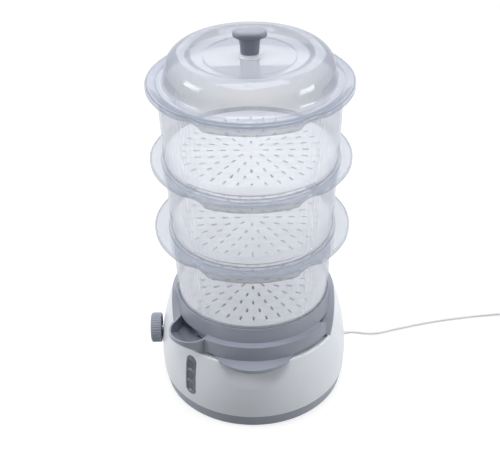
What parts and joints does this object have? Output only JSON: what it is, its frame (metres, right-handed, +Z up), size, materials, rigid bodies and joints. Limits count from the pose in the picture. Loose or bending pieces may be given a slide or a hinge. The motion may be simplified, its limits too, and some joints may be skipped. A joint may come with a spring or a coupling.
{
  "type": "electric food steamer",
  "caption": "Electric food steamer: round base with tank, side timer dial, level gauge and drip tray, stacked clear baskets with slotted floors, and a domed clear lid with a knob.",
  "frame": {"origin": "centre of the round base on the surface it stands on", "axes": "+Z up through the baskets to the lid knob, -Y towards the front where the tray's handle is, +X to the right seen from the front, where the cord leaves"},
  "size_m": [0.6185, 0.254, 0.499],
  "materials": {
    "shell_white": "smooth white moulding, soft gloss",
    "pan_grey": "mid grey moulding, soft gloss",
    "foot_rubber": "dull",
    "steel": "plain bright steel",
    "tank_white": "smooth",
    "seal_rubber": "silicone, satin",
    "plate_aluminium": "cast, satin",
    "inner_dark": "dull",
    "inner_light": "dull",
    "dial_grey": "satin, fine grip ribs",
    "gauge_dark": "smooth",
    "gauge_window": "smoky clear",
    "wire_blue": "wire sleeve",
    "cord_white": "satin cord sheath",
    "tie_dark": "dull",
    "pin_metal": "nickel plated",
    "tray_grey": "mid grey moulding, soft gloss",
    "clear_plastic": "clear with a faint blue-grey cast",
    "collar_clear": "clear, bright",
    "knob_grey": "light grey, satin"
  },
  "bodies": {
    "base": {"base_shell": "shell_white", "bottom_pan": "pan_grey", "rubber_feet": "foot_rubber", "case_screws": "steel", "water_tank": "tank_white", "heater_seal": "seal_rubber", "heating_plate": "plate_aluminium", "heater_tube": "steel", "thermostat": "inner_dark", "thermal_fuse": "inner_light", "steam_sleeve": "tank_white", "timer_case": "inner_light", "gauge_bezel": "gauge_dark", "gauge_lens": "gauge_window", "terminal_block": "inner_light", "inner_wires": "wire_blue", "cord_clamp": "inner_light", "cord_gland": "cord_white", "mains_cord": "cord_white", "cord_coil": "cord_white", "cord_tie": "tie_dark", "plug_body": "cord_white", "plug_pins": "pin_metal"},
    "timer_dial": {"timer_knob": "dial_grey", "timer_shaft": "steel"},
    "tray": {"drip_tray": "tray_grey"},
    "tier_1": {"basket_1": "clear_plastic"},
    "tier_2": {"basket_2": "clear_plastic"},
    "tier_3": {"basket_3": "clear_plastic"},
    "lid": {"lid": "clear_plastic", "knob_collar": "collar_clear", "lid_knob": "knob_grey", "knob_screw": "steel"}
  },
  "joints": [
    {"name": "timer_turn", "type": "hinge", "parent": "base", "child": "timer_dial", "pos_m": [-0.1243, 0, 0.071], "axis": [1, 0, 0], "range_deg": [0, 300]},
    {"name": "tray_lift", "type": "slide", "parent": "base", "child": "tray", "axis": [0, 0, 1], "range_m": [0, 0.06]},
    {"name": "basket_1_lift", "type": "slide", "parent": "tray", "child": "tier_1", "axis": [0, 0, 1], "range_m": [0, 0.06]},
    {"name": "basket_2_lift", "type": "slide", "parent": "tier_1", "child": "tier_2", "axis": [0, 0, 1], "range_m": [0, 0.06]},
    {"name": "basket_3_lift", "type": "slide", "parent": "tier_2", "child": "tier_3", "axis": [0, 0, 1], "range_m": [0, 0.06]},
    {"name": "lid_lift", "type": "slide", "parent": "tier_3", "child": "lid", "axis": [0, 0, 1], "range_m": [0, 0.06]}
  ]
}
